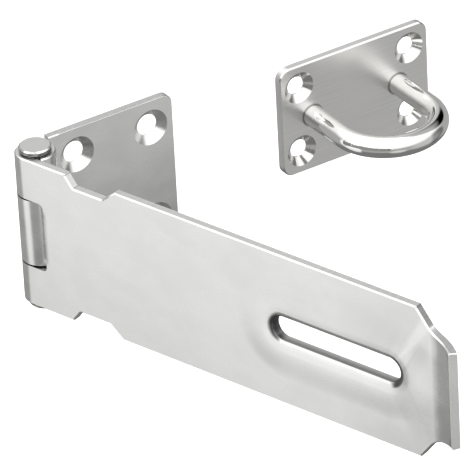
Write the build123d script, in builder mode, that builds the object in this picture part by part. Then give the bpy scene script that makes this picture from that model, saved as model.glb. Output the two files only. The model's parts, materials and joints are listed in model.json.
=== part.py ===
"""Door hasp latch in pressed stainless sheet: a screwed leaf, a slotted strap on a hinge pin, and a staple.

Frame: millimetres, +Z up along the hinge pin, +X along the leaf from the hinge to the staple, and -Y away
from the door. The leaf and the staple plate lie against the door in the plane Y = 0. The origin is the middle
of the leaf's four screw holes. The strap stands part open, as it is at rest.
"""

import os
from math import cos, radians, sin, sqrt

from build123d import *

# Sheet, edges and screws
sheet = 2.0
edge_break = 0.35
screw_hole_diameter = 5.4
countersink_diameter = 9.3
countersink_angle = 96

# Hinge
hinge_height = 40.0
pin_diameter = 5.8
pin_running_clearance = 0.05
pin_head_diameter = 7.8
pin_head_height = 1.1
pin_head_bevel = 0.35
pin_end_play = 0.4
curl_wrap = 303
leaf_knuckle_height = 17.6
knuckle_end_gap = 0.4
barrel_gap = 0.6
window_radius = 1.3
rest_opening = 72.0

# Fixed leaf, measured along X from the hinge axis
leaf_reach = 40.0
leaf_corner_radius = 2.5
leaf_hole_start = 13.0
leaf_hole_end_margin = 6.4
leaf_hole_pitch_z = 25.6

# Strap, measured along it from the hinge axis
waist_start = 12.9
waist_end = 28.0
waist_depth = 3.1
waist_start_run = 2.4
waist_end_run = 3.8
waist_corner_radius = 0.8
slot_end_margin = 17.9
slot_length = 36.9
slot_width = 6.4
slot_break = 0.75
slot_rim = 1.6
slot_rim_depth = 0.35
slot_collar_depth = 0.9
slot_collar_wall = 1.2
strap_reach = 128.35
shoulder_setback = 3.75
shoulder_run = 4.5
shoulder_radius = 6.0
tab_root_width = 28.4
tab_width = 25.0
lip_radius = 11.5
lip_angle = 40

# Staple
staple_plate_length = 43.0
staple_plate_height = 29.5
staple_corner_radius = 3.0
staple_hole_diameter = 4.6
staple_countersink_diameter = 8.2
staple_hole_pitch_x = 32.0
staple_hole_pitch_z = 17.5
wire_diameter = 5.4
loop_leg_pitch = 25.0
loop_height = 28.5
tenon_diameter = 4.2
tenon_clearance = 0.05
rivet_diameter = 5.4
slot_lead = 0.2

# Sizes that follow from them
knuckle_inner = pin_diameter / 2 + pin_running_clearance
knuckle_outer = knuckle_inner + sheet
window_height = leaf_knuckle_height + 2 * knuckle_end_gap
relief_reach = knuckle_outer + barrel_gap
lip_start = strap_reach - (lip_radius + sheet) * sin(radians(lip_angle))
shoulder_start = lip_start - shoulder_setback
slot_centre = strap_reach - slot_end_margin - slot_length / 2
leaf_hole_pitch_x = leaf_reach - leaf_hole_start - leaf_hole_end_margin
hinge_x = -(leaf_hole_start + leaf_hole_pitch_x / 2)
hinge_y = -knuckle_outer
staple_x = hinge_x + slot_centre - slot_lead
far = 2 * (leaf_reach + strap_reach)


def upright_plane(x, y, direction):
    """The plane across the sheet's face: its x runs along the sheet at that angle and its y runs up."""
    along = (cos(radians(direction)), sin(radians(direction)), 0)
    face = (sin(radians(direction)), -cos(radians(direction)), 0)
    return Plane(origin=(x, y, 0), x_dir=along, z_dir=face)


def plan_plane(x, y, direction):
    """The plane across the hinge pin: its x runs along the sheet at that angle."""
    along = (cos(radians(direction)), sin(radians(direction)), 0)
    return Plane(origin=(x, y, 0), x_dir=along, z_dir=(0, 0, 1))


def front_of(piece, plane):
    """The piece's flat face that looks out along that plane."""
    return piece.faces().filter_by(plane).sort_by(Axis(plane.origin, plane.z_dir))[-1]


def outline_past_barrel(face, plane):
    """The outer edges of a sheet's front face, apart from those beside the barrel."""
    edges = face.outer_wire().edges()
    return edges.filter_by(lambda edge: plane.to_local_coords(edge.center()).X > relief_reach + edge_break)


leaf_plan = plan_plane(hinge_x, hinge_y, 0)
leaf_face = upright_plane(hinge_x, hinge_y, 0)
strap_plan = plan_plane(hinge_x, hinge_y, -rest_opening)
strap_face = upright_plane(hinge_x, hinge_y, -rest_opening)

# Fixed leaf: a sheet rolled round the pin at its middle knuckle, flat against the door
with BuildPart() as fixed_leaf:
    with BuildSketch(leaf_plan):
        with BuildLine():
            curl_out = CenterArc((0, 0), knuckle_outer, 90, curl_wrap)
            curl_in = CenterArc((0, 0), knuckle_inner, 90, curl_wrap)
            Line(curl_out @ 1, curl_in @ 1)
            Polyline(
                curl_out @ 0,
                (leaf_reach, knuckle_outer),
                (leaf_reach, knuckle_inner),
                curl_in @ 0,
            )
        make_face()
    extrude(amount=hinge_height / 2, both=True)
    with BuildSketch(leaf_face) as leaf_reliefs:
        relief_height = (hinge_height - leaf_knuckle_height) / 2
        relief_middle = (hinge_height + leaf_knuckle_height) / 4
        with Locations((0, relief_middle), (0, -relief_middle)):
            Rectangle(2 * relief_reach, relief_height)
        fillet(leaf_reliefs.vertices().group_by(Axis.X)[-1].sort_by(Axis.Y)[1:3], barrel_gap)
    extrude(amount=far, both=True, mode=Mode.SUBTRACT)
    far_corners = fixed_leaf.edges().filter_by(Axis.Y).group_by(Axis.X)[-1]
    fillet(far_corners, leaf_corner_radius)
    with Locations(Plane(origin=(0, -sheet, 0), x_dir=(1, 0, 0), z_dir=(0, -1, 0))):
        with GridLocations(leaf_hole_pitch_x, leaf_hole_pitch_z, 2, 2):
            CounterSinkHole(
                screw_hole_diameter / 2,
                countersink_diameter / 2,
                depth=sheet,
                counter_sink_angle=countersink_angle,
            )
    chamfer(outline_past_barrel(front_of(fixed_leaf, leaf_face), leaf_face), edge_break)
fixed_leaf.part.label = "fixed_leaf"

# Strap: one sheet with two rolled knuckles, a waist, a collared slot and a lip curled forward for the finger
with BuildPart() as strap:
    with BuildSketch(strap_plan):
        with BuildLine():
            curl_out = CenterArc((0, 0), knuckle_outer, -90, -curl_wrap)
            curl_in = CenterArc((0, 0), knuckle_inner, -90, -curl_wrap)
            Line(curl_out @ 1, curl_in @ 1)
            lip_middle = (lip_start, -(knuckle_outer + lip_radius))
            lip_front = CenterArc(lip_middle, lip_radius, 90, -lip_angle)
            lip_back = CenterArc(lip_middle, lip_radius + sheet, 90, -lip_angle)
            Line(lip_front @ 1, lip_back @ 1)
            Line(curl_out @ 0, lip_front @ 0)
            Line(curl_in @ 0, lip_back @ 0)
        make_face()
    extrude(amount=hinge_height / 2, both=True)
    with BuildSketch(strap_face.offset(knuckle_inner)):
        with Locations((slot_centre, 0)):
            SlotOverall(slot_length + 2 * slot_collar_wall, slot_width + 2 * slot_collar_wall)
    extrude(amount=-slot_collar_depth)
    with BuildSketch(strap_face) as strap_cuts:
        Rectangle(2 * relief_reach, window_height)
        fillet(strap_cuts.vertices().group_by(Axis.X)[-1], window_radius)
        with Locations((slot_centre, 0)):
            SlotOverall(slot_length, slot_width)
    extrude(amount=far, both=True, mode=Mode.SUBTRACT)
    with BuildSketch(strap_face) as edge_cuts:
        top = hinge_height / 2
        with BuildLine():
            Polyline(
                (waist_start, top),
                (waist_start + waist_start_run, top - waist_depth),
                (waist_end - waist_end_run, top - waist_depth),
                (waist_end, top),
                close=True,
            )
        make_face()
        fillet(edge_cuts.vertices().group_by(Axis.Y)[0], waist_corner_radius)
        with BuildLine():
            FilletPolyline(
                (shoulder_start, top),
                (shoulder_start + shoulder_run, tab_root_width / 2),
                (strap_reach, tab_width / 2),
                radius=shoulder_radius,
            )
            Polyline(
                (strap_reach, tab_width / 2),
                (strap_reach + sheet, tab_width / 2),
                (strap_reach + sheet, top),
                (shoulder_start, top),
            )
        make_face()
        mirror(about=Plane.XZ)
    extrude(amount=far, both=True, mode=Mode.SUBTRACT)
    chamfer(front_of(strap, strap_face).inner_wires()[0].edges(), slot_break)
    strap_front = front_of(strap, strap_face)
    slot_edges = strap_front.inner_wires()[0].edges()
    chamfer(slot_edges, slot_rim - slot_break, sqrt(2) * slot_rim_depth, reference=strap_front)
    outline = outline_past_barrel(front_of(strap, strap_face), strap_face)
    chamfer(outline.filter_by(Axis.Z, reverse=True), edge_break)
strap.part.label = "strap"

# Hinge pin: a plain rod headed over at both ends of the barrel
with BuildPart() as hinge_pin:
    with BuildSketch(Plane(origin=(hinge_x, hinge_y, 0), x_dir=(1, 0, 0), z_dir=(0, -1, 0))):
        end = hinge_height / 2 + pin_end_play
        shaft = pin_diameter / 2
        head = pin_head_diameter / 2
        with BuildLine():
            Polyline(
                (0, 0),
                (shaft, 0),
                (shaft, end),
                (head, end),
                (head, end + pin_head_height - pin_head_bevel),
                (head - pin_head_bevel, end + pin_head_height),
                (0, end + pin_head_height),
                close=True,
            )
        make_face()
        mirror(about=Plane.XZ)
    revolve(axis=Axis((hinge_x, hinge_y, 0), (0, 0, 1)))
hinge_pin.part.label = "hinge_pin"

# Staple plate: a punched plate with four countersunk screw holes and two holes for the loop's ends
front_face = Plane(origin=(staple_x, -sheet, 0), x_dir=(1, 0, 0), z_dir=(0, -1, 0))
with BuildPart() as staple_plate:
    with BuildSketch(front_face):
        RectangleRounded(staple_plate_length, staple_plate_height, staple_corner_radius)
    extrude(amount=-sheet)
    chamfer(staple_plate.faces().sort_by(Axis.Y)[0].edges(), edge_break)
    with Locations(front_face):
        with GridLocations(staple_hole_pitch_x, staple_hole_pitch_z, 2, 2):
            CounterSinkHole(
                staple_hole_diameter / 2,
                staple_countersink_diameter / 2,
                depth=sheet,
                counter_sink_angle=countersink_angle,
            )
    back_face = Plane(origin=(staple_x, 0, 0), x_dir=(-1, 0, 0), z_dir=(0, 1, 0))
    with Locations(back_face):
        with GridLocations(loop_leg_pitch, 1, 2, 1):
            CounterSinkHole(
                tenon_diameter / 2 + tenon_clearance,
                rivet_diameter / 2 + tenon_clearance,
                depth=sheet,
                counter_sink_angle=90,
            )
staple_plate.part.label = "staple_plate"

# Staple loop: a bent rod that stands on the plate on its shoulders, its ends riveted over at the back
with BuildPart() as staple_loop:
    loop_plane = Plane(origin=(staple_x, -sheet, 0), x_dir=(1, 0, 0), z_dir=(0, 0, 1))
    leg = loop_leg_pitch / 2
    bend = loop_height - wire_diameter / 2 - leg
    with BuildLine(loop_plane) as loop_path:
        Line((-leg, 0), (-leg, -bend))
        CenterArc((0, -bend), leg, 180, 180)
        Line((leg, -bend), (leg, 0))
    with BuildSketch(Plane(origin=(staple_x - leg, -sheet, 0), x_dir=(1, 0, 0), z_dir=(0, -1, 0))):
        Circle(wire_diameter / 2)
    sweep(path=loop_path.wire())
    with BuildSketch(front_face):
        with GridLocations(loop_leg_pitch, 1, 2, 1):
            Circle(tenon_diameter / 2)
    extrude(amount=-sheet)
    with BuildSketch(back_face):
        with GridLocations(loop_leg_pitch, 1, 2, 1):
            Circle(rivet_diameter / 2)
    extrude(amount=-(rivet_diameter - tenon_diameter) / 2, taper=45)
staple_loop.part.label = "staple_loop"

os.makedirs("parts", exist_ok=True)
for piece in (fixed_leaf, strap, hinge_pin, staple_plate, staple_loop):
    export_step(piece.part, f"parts/{piece.part.label}.step")
    print(piece.part.label, round(piece.part.volume, 2), piece.part.bounding_box())
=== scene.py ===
"""Door hasp latch: satin sheet leaf and strap on a headed pin, and a brushed staple plate with its loop."""

import json
from math import cos, radians, sin

import bpy
from mathutils import Matrix, Vector


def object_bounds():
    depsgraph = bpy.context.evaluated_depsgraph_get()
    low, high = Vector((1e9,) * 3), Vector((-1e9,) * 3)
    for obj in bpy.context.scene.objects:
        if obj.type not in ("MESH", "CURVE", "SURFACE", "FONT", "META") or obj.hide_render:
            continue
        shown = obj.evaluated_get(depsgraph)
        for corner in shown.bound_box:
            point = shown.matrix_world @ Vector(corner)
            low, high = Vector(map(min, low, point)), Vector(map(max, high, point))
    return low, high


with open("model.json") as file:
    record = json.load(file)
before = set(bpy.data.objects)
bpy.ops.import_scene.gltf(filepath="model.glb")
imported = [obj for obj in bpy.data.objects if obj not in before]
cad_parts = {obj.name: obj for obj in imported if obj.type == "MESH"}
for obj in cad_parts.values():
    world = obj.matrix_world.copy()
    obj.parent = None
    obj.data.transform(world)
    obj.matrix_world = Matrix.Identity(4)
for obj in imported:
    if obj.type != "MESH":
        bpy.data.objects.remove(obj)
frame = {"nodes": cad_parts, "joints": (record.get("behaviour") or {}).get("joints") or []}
cad_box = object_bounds()
nodes = frame["nodes"]
hinge = frame["joints"][0]

# Fixed leaf: 2 mm steel sheet with four countersunk screw holes, its middle knuckle rolled round the pin.
# The sheet comes from the mill with a fine satin face. It is blanked out, so its edges are sheared, and the
# countersinks are turned after that, so they are the brightest part of it.
sheet_half = 0.02
edge_break = 0.00035
barrel_end = 0.008
window_half = 0.0092
flat_end = 0.117
sheet_dark = (0.64, 0.64, 0.63)
sheet_light = (0.8, 0.8, 0.79)


class Value:
    """One socket of a node tree. Sums and products of such values add their Math nodes."""

    def __init__(self, tree, socket=None):
        self.tree = tree
        self.socket = socket

    def node(self, kind, settings, inputs, output=0):
        """Adds a node of that kind, sets it, fills or links its sockets and gives one of its outputs."""
        made = self.tree.nodes.new(kind)
        for name, setting in settings.items():
            setattr(made, name, setting)
        for name, value in inputs.items():
            if isinstance(value, Value):
                self.tree.links.new(value.socket, made.inputs[name])
            else:
                made.inputs[name].default_value = value
        return Value(self.tree, made.outputs[output])

    def math(self, operation, first, second=0.0):
        return self.node("ShaderNodeMath", {"operation": operation}, {0: first, 1: second})

    def __add__(self, other):
        return self.math("ADD", self, other)

    def __radd__(self, other):
        return self.math("ADD", other, self)

    def __sub__(self, other):
        return self.math("SUBTRACT", self, other)

    def __rsub__(self, other):
        return self.math("SUBTRACT", other, self)

    def __mul__(self, other):
        return self.math("MULTIPLY", self, other)

    def __rmul__(self, other):
        return self.math("MULTIPLY", other, self)

    def __abs__(self):
        return self.math("ABSOLUTE", self)


def rise(value, low, high):
    """Nothing below the low value, one above the high value and a soft step between."""
    limits = {"Value": value, "From Min": low, "From Max": high}
    return value.node("ShaderNodeMapRange", {"interpolation_type": "SMOOTHSTEP"}, limits)


def largest(first, *others):
    """The largest of some values at each place."""
    for other in others:
        first = first.math("MAXIMUM", first, other)
    return first


def toward(vector, direction):
    """How far a vector goes in a direction."""
    both = {0: vector, 1: direction}
    return vector.node("ShaderNodeVectorMath", {"operation": "DOT_PRODUCT"}, both, "Value")


def streaks(place, counts, detail=2.0):
    """Noise with that many waves to the metre along each axis."""
    stretched = place.node("ShaderNodeMapping", {}, {"Vector": place, "Scale": counts})
    return place.node("ShaderNodeTexNoise", {}, {"Vector": stretched, "Scale": 1.0, "Detail": detail})


def new_metal(name):
    """A metal with nothing on it yet: its material, its Object coordinates and its normal in them."""
    metal = bpy.data.materials.new(name)
    metal.use_nodes = True
    metal.node_tree.nodes["Principled BSDF"].inputs["Metallic"].default_value = 1.0
    start = Value(metal.node_tree)
    place = start.node("ShaderNodeTexCoord", {}, {}, "Object")
    normal = start.node("ShaderNodeTexCoord", {}, {}, "Normal")
    return metal, place, normal


def finish_metal(metal, tone, dark, light, roughness, height, shade=0.0):
    """Joins up a metal: its colour from dark to light, painted shade that mixes it towards dark grey, its
    roughness and its height in metres.
    """
    # The dark grey that painted shade mixes the colour towards.
    shadow = (0.1, 0.1, 0.1)
    colour = tone.node("ShaderNodeMix", {"data_type": "RGBA"}, {0: tone, 6: (*dark, 1), 7: (*light, 1)}, 2)
    colour = tone.node("ShaderNodeMix", {"data_type": "RGBA"}, {0: shade, 6: colour, 7: (*shadow, 1)}, 2)
    bump = tone.node("ShaderNodeBump", {}, {"Height": height, "Strength": 1.0, "Distance": 1.0})
    shader = metal.node_tree.nodes["Principled BSDF"]
    for value, socket in ((colour, "Base Color"), (roughness, "Roughness"), (bump, "Normal")):
        metal.node_tree.links.new(value.socket, shader.inputs[socket])


def dress(node, metal):
    """Gives a CAD node its metal, with its flat faces kept flat and its broken edges shaded round."""
    piece = nodes[node]
    piece.data.materials.clear()
    piece.data.materials.append(metal)
    piece.data.polygons.foreach_set("use_smooth", [True] * len(piece.data.polygons))
    weld = piece.modifiers.new("weld", "WELD")
    weld.merge_threshold = 1e-6
    split = piece.modifiers.new("split", "EDGE_SPLIT")
    split.split_angle = radians(35)
    piece.modifiers.new("even", "WEIGHTED_NORMAL")


def satin_sheet(name, turn, edge_round, edge_shade, bow, crest, pressed=None):
    """Rolled satin sheet: grain, clouds of tone, a slight bow, sheared edges, bright countersinks and
    painted shade.
    """
    metal, place, normal = new_metal(name)
    spin = Matrix.Rotation(turn, 3, "Z")
    axis = Vector(hinge["pos_m"])
    from_axis = {"Vector": place, "Location": -(spin @ axis), "Rotation": (0, 0, turn)}
    local = place.node("ShaderNodeMapping", {}, from_axis)
    reach = toward(local, (1, 0, 0))
    depth = toward(local, (0, 1, 0)) - axis.y
    up = toward(local, (0, 0, 1))
    endways = abs(toward(normal, spin.transposed() @ Vector((1, 0, 0))))
    facing = abs(toward(normal, spin.transposed() @ Vector((0, 1, 0))))
    level = abs(toward(normal, (0, 0, 1)))

    # The sheared edges are the strips above and below, and the ends past the barrel.
    strip = rise(level, 0.75, 0.85)
    ends = rise(endways, 0.7, 0.75) * rise(reach, barrel_end - 0.001, barrel_end)
    sheared = largest(ends, strip)

    # Faces at about 45 degrees are countersinks and broken edges, between the barrel and the lip.
    cut = rise(facing, 0.5, 0.6) * (1 - rise(facing, 0.85, 0.95))
    cut = cut * rise(reach, barrel_end, barrel_end + 0.001) * (1 - rise(reach, flat_end, flat_end + 0.001))

    # Level faces between the knuckles get painted shade for the dark of their gaps.
    gap_shade = rise(level, 0.6, 0.9) * (1 - rise(reach, barrel_end - 0.0008, barrel_end))
    gap_shade = gap_shade * (1 - rise(abs(up), window_half + 0.0002, window_half + 0.0005))

    # The broken edge is rolled over, from its inner line to the sheared strip.
    rim_low = sheet_half - edge_break
    rim = largest(abs(up), rim_low)
    rim = rim.math("MINIMUM", rim, sheet_half) - (rim_low + sheet_half) / 2
    # Painted shade dims the highlight along the broken edge, as much as edge_shade says: the leaf has it,
    # the strap none.
    edge = cut * rise(abs(up), rim_low - 0.00015, rim_low + 0.00005)

    cloud = streaks(local, (60, 60, 60), 1.5)
    bloom = streaks(local, (110, 110, 160), 3.0)
    grain = streaks(local, (260, 3600, 3600))
    shear = streaks(local, (2400, 180, 2400))
    own_height, own_shade, ridge_highlight = pressed(reach, depth, up, ends, shear) if pressed else (0.0, 0.0, 0.0)
    skin = cloud * 0.4 + rise(bloom, 0.3, 0.7) * 0.45 + grain * 0.15
    # The strap's crease gets a painted highlight in the tone.
    tone = skin + sheared * (shear - skin) + 0.5 * ridge_highlight
    roughness = 0.2 + 0.12 * tone + 0.06 * sheared - 0.04 * cut - 0.12 * ridge_highlight
    height = cloud * 5e-5 + grain * 4e-7 + sheared * shear * 3e-6 + own_height
    height = height - (up - crest) * (up - crest) * bow - rim * rim * edge_round
    # The sheared strips are mixed towards dark grey, more on the leaf; painted shade darkens the knuckles'
    # gaps, the leaf's broken edge and the strap's slot and shoulders.
    shade = largest((0.1 + 0.2 * edge_shade) * strip, 0.8 * gap_shade, edge_shade * edge, own_shade)
    finish_metal(metal, tone, sheet_dark, sheet_light, roughness, height, shade)
    return metal


dress("fixed_leaf", satin_sheet("leaf_satin", 0, edge_round=2500, edge_shade=0.45, bow=2.0, crest=0.006))

# Strap: one 2 mm sheet with two rolled knuckles, waist notches, the staple's slot and a lip curled forward.
# It is the same satin sheet as the leaf, with its grain along its own length. The slot is punched and its
# edge drawn back, and the lip is rolled last, which leaves the sheet between them a little creased.
opening = radians(hinge["range_deg"][1])
slot_centre = 0.0920
slot_half = 0.01525
swell_height = 2.2e-4
dish_depth = 1.3e-4
lip_start = 0.11967
lip_radius = 0.0115
lip_angle = radians(40)
lip_drop = 3e-4
bend_height = 1.6e-3
bend_return = 5e-4
crease_reach = 0.1122
crease_level = 0.010
crease_along = 0.509
crease_up = 0.861
crease_height = 1.8e-4
window_edge = 0.0066
window_round = 60


def pressed_strap(reach, depth, up, ends, shear):
    """Height that punching the slot and curling the lip leave on the strap, painted shade on the slot and
    shoulders, and the crease's painted highlight.
    """
    # The sheet sinks at the slot's edge and swells below it. The slot's wall gets painted shade, most at its
    # ends.
    past_end = largest(abs(reach - slot_centre) - slot_half, 0.0)
    from_slot = up.math("SQRT", past_end * past_end + up * up)
    at_end = rise(past_end, 0.0005, 0.002)
    lower_half = 1 - rise(up, -0.010, 0.010)
    dish = (1 - rise(from_slot, 0.0038, 0.0062)) * (0.3 + 0.7 * lower_half)
    swell = (1 - rise(from_slot, 0.0060, 0.0130)) * lower_half
    wall = (1 - rise(from_slot, 0.0034, 0.0037)) * rise(depth, 0.0005, 0.0008)
    wall = wall * (0.8 - 0.4 * rise(depth, 0.001, 0.0029) + 0.35 * at_end)
    # The painted shade at the slot's round ends reaches a little further at the right end.
    cap_spread = 0.0006 * rise(reach, slot_centre, slot_centre + slot_half)
    end_shade = (1 - rise(from_slot - cap_spread, 0.0036, 0.0042)) * at_end * rise(depth, 0, 0.0002)

    # The sheet bends a little before the lip, which drops off at its end. The shoulders beside it get
    # mottled painted shade.
    bend = rise(reach, 0.092, 0.140) * bend_height - rise(reach, 0.1195, 0.1285) * bend_return
    curl = reach.math("ARCTAN2", reach - lip_start, depth + lip_radius)
    brink = rise(curl, lip_angle - radians(2), lip_angle)
    shoulder_shade = ends * rise(reach, 0.114, 0.115) * (1 - rise(reach, 0.121, 0.122))

    # The crease runs from the slot's end up to the upper of the shoulders; a painted highlight lightens it
    # along its top, where the sheet is also smoother.
    off_crease = crease_up * (reach - crease_reach) - crease_along * (up - crease_level)
    on_crease = crease_along * (reach - crease_reach) + crease_up * (up - crease_level)
    crease = rise(off_crease, 0.002, 0.008) * (1 - rise(on_crease, 0.002, 0.009))
    crease = crease * rise(on_crease, -0.020, -0.006)
    ridge_highlight = rise(off_crease, 0.0, 0.002) * (1 - rise(off_crease, 0.0025, 0.0050))
    ridge_highlight = ridge_highlight * rise(on_crease, -0.014, -0.004)

    # The edge of the knuckles' window is rolled over towards the barrel.
    over_edge = largest(window_edge - reach, 0.0) * (1 - rise(abs(up), 0.0060, 0.0088))

    height = swell * swell_height - dish * dish_depth + bend - brink * lip_drop + crease * crease_height
    height = height - over_edge * over_edge * window_round
    shade = largest(wall, 0.92 * end_shade, (0.4 + 0.45 * shear) * shoulder_shade)
    return height, shade, ridge_highlight


strap_satin = satin_sheet(
    "strap_satin", opening, edge_round=2000, edge_shade=0.0, bow=0.5, crest=0.0, pressed=pressed_strap
)
dress("strap", strap_satin)

# Hinge pin: a plain steel rod, headed over flat at both ends of the barrel.
# Its heads are faced off, which leaves fine rings about the pin's axis; painted shade darkens their skirts
# and patches of their bevels.
pin_dark = (0.66, 0.66, 0.65)
pin_light = (0.74, 0.74, 0.73)


def faced_rod(name):
    """Rod with rings about the hinge axis on its heads, with painted shade on their skirts and in patches on
    their bevels.
    """
    metal, place, normal = new_metal(name)
    centred = place.node("ShaderNodeMapping", {}, {"Vector": place, "Location": -Vector(hinge["pos_m"])})
    flat = centred.node("ShaderNodeVectorMath", {"operation": "MULTIPLY"}, {0: centred, 1: (1, 1, 0)})
    radius = flat.node("ShaderNodeVectorMath", {"operation": "LENGTH"}, {0: flat}, "Value")
    ring_place = radius.node("ShaderNodeCombineXYZ", {}, {0: radius})
    rings = streaks(ring_place, (5000, 1, 1), 1.0)
    cloud = streaks(centred, (500, 500, 500))
    tone = rings * 0.5 + cloud * 0.5
    height = rings * 6e-7 + cloud * 2e-6
    level = abs(toward(normal, (0, 0, 1)))
    # Painted shade darkens the skirts below the heads.
    skirt_shade = 1 - rise(level, 0.3, 0.75)
    # Painted shade in patches on the bevels breaks their bright band into glints.
    bevel_shade = (1 - rise(level, 0.8, 0.95)) * rise(cloud, 0.48, 0.56)
    shade = largest(0.75 * skirt_shade, 0.6 * bevel_shade)
    finish_metal(metal, tone, pin_dark, pin_light, 0.16 + 0.14 * tone, height, shade)
    return metal


dress("hinge_pin", faced_rod("pin_faced"))

# Staple plate: 2 mm plate with a brushed face, four bright countersinks and two holes for the loop's ends.
# It is brushed along its length after it is blanked, so its face is a little darker than the sheet's.
staple_box = [nodes["staple_plate"].matrix_world @ Vector(c) for c in nodes["staple_plate"].bound_box]
staple_x = sum(corner.x for corner in staple_box) / 8
leg_offset = 0.0125
plate_dark = (0.58, 0.575, 0.56)
plate_light = (0.81, 0.805, 0.79)


def brushed_plate(name):
    """Plate brushed along X, with polished countersinks and a ring of painted shade round the loop's legs.
    """
    metal, place, normal = new_metal(name)
    cloud = streaks(place, (120, 120, 120))
    brush = streaks(place, (45, 1500, 2600), 3.0)
    facing = abs(toward(normal, (0, 1, 0)))
    cone = rise(facing, 0.5, 0.6) * (1 - rise(facing, 0.85, 0.95))
    aside = abs(toward(place, (1, 0, 0)) - staple_x) - leg_offset
    up = toward(place, (0, 0, 1))
    from_leg = up.math("SQRT", aside * aside + up * up)
    # A ring of painted shade lies round each of the loop's legs.
    leg_shade = rise(facing, 0.95, 0.97) * (1 - rise(from_leg, 0.0028, 0.0032))
    tone = brush * 0.7 + cloud * 0.3
    roughness = 0.26 + 0.1 * tone - 0.18 * cone
    height = brush * 1.6e-6 * (1 - cone) + cloud * 1e-5
    finish_metal(metal, tone, plate_dark, plate_light, roughness, height, 0.7 * leg_shade)
    return metal


dress("staple_plate", brushed_plate("plate_brushed"))

# Staple loop: bent polished rod, its shouldered ends riveted over at the back of the plate.
# The bright drawn rod is polished before it is bent, and the bend leaves it a little uneven.
rod_dark = (0.7, 0.695, 0.68)
rod_light = (0.82, 0.815, 0.8)


def polished_rod(name):
    """Bright drawn rod, nearly a mirror, with a faint haze."""
    metal, place, _ = new_metal(name)
    haze = streaks(place, (400, 400, 400), 4.0)
    dents = streaks(place, (150, 150, 150))
    tone = haze * 0.5 + dents * 0.5
    height = dents * 2e-5 + haze * 1e-6
    finish_metal(metal, tone, rod_dark, rod_light, 0.03 + 0.07 * haze, height)
    return metal


dress("staple_loop", polished_rod("rod_polished"))

# Floor: a plain pale sheet well below the latch, which hangs clear of it as it does on a door.
# The metal doesn't mirror it, and it casts no shadow, so the light of the room comes from below too.
lowest = cad_box[0]
floor_drop = 0.16
floor_size = 8.0
floor_colour = (0.9, 0.9, 0.9)
floor_roughness = 0.9
bpy.ops.object.select_all(action="DESELECT")
bpy.ops.mesh.primitive_plane_add(size=floor_size, location=(0, 0, lowest.z - floor_drop))
floor = bpy.context.object
floor.name = "floor"
floor.visible_glossy = False
floor.visible_shadow = False
pale = bpy.data.materials.new("floor_pale")
pale.use_nodes = True
pale.node_tree.nodes["Principled BSDF"].inputs["Base Color"].default_value = (*floor_colour, 1)
pale.node_tree.nodes["Principled BSDF"].inputs["Roughness"].default_value = floor_roughness
floor.data.materials.append(pale)

# Light: a grey room with a bright window low on the left, a big soft ceiling that leans over the camera,
# and a few dark screens that give the bright metal its edges. A soft box hangs above them.
room = 0.48
world = bpy.data.worlds.new("studio")
bpy.context.scene.world = world
world.use_nodes = True
background = world.node_tree.nodes["Background"]
sky = Value(world.node_tree)
ray = sky.node("ShaderNodeTexCoord", {}, {}, "Generated")
flat_ray = ray.node("ShaderNodeVectorMath", {"operation": "MULTIPLY"}, {0: ray, 1: (1, 1, 0.4)})
flat_ray = ray.node("ShaderNodeVectorMath", {"operation": "NORMALIZE"}, {0: flat_ray})
# Each part has the ray that meets it, the azimuth and elevation of its middle, the angles from there
# to where it starts to fade and to where it ends, all in degrees, and its brightness.
room_parts = {
    "window": (flat_ray, 168.5, -5, 18, 23, 0.74),
    "right screen": (flat_ray, 338, -2, 10, 20, -0.3),
    "ceiling": (ray, 235, 75, 50, 84, 1.2),
    "ceiling gap": (ray, 238, 62, 4, 8, -1.2),
    "back screen": (ray, 66, -28, 10, 25, -0.2),
    "rear screen": (ray, 20, 45, 16, 31, -1.1),
    "front card": (ray, 312, -12, 8, 40, 0.2),
    "lip card": (ray, 257, -31, 6, 18, 0.4),
    "dark floor": (ray, 0, -90, 50, 63, -0.25),
}
glow = room
for sight, azimuth, elevation, inner, outer, brightness in room_parts.values():
    around = radians(azimuth)
    above = radians(elevation)
    middle = (cos(around) * cos(above), sin(around) * cos(above), sin(above))
    glow = glow + rise(toward(sight, middle), cos(radians(outer)), cos(radians(inner))) * brightness
glow = largest(glow, 0.0)
seen = sky.node("ShaderNodeLightPath", {}, {}, "Is Camera Ray")
strength = seen + (1 - seen) * glow
world.node_tree.links.new(strength.socket, background.inputs["Strength"])
background.inputs["Color"].default_value = (1, 1, 1, 1)

box_place = (-0.2, -0.1, 1.3)
box_size = 1.6
box_power = 12
soft_box = bpy.data.objects.new("soft_box", bpy.data.lights.new("soft_box", "AREA"))
soft_box.data.size = box_size
soft_box.data.energy = box_power
soft_box.location = box_place
bpy.context.collection.objects.link(soft_box)

# Camera: a long lens from above and to the left, turned a little, as the latch was photographed.
# Its place, lens and turn were fitted to the edges, notches, holes, slot and lip of the hasp.
camera_azimuth = radians(-31.58)
camera_elevation = radians(31.0)
camera_roll = radians(-3.12)
camera_distance = 1.507
camera_lens = 486.1
picture_middle = Vector((0.0188, -0.0237, -0.0098))
toward_camera = Vector((
    sin(camera_azimuth) * cos(camera_elevation),
    -cos(camera_azimuth) * cos(camera_elevation),
    sin(camera_elevation),
))
camera = bpy.data.objects.new("camera", bpy.data.cameras.new("camera"))
camera.data.lens = camera_lens
camera.data.clip_end = 20
camera.location = picture_middle + camera_distance * toward_camera
camera.rotation_euler = (-toward_camera).to_track_quat("-Z", "Y").to_euler()
camera.rotation_euler.rotate_axis("Z", camera_roll)
bpy.context.collection.objects.link(camera)
bpy.context.scene.camera = camera
bpy.context.scene.view_settings.view_transform = "Standard"
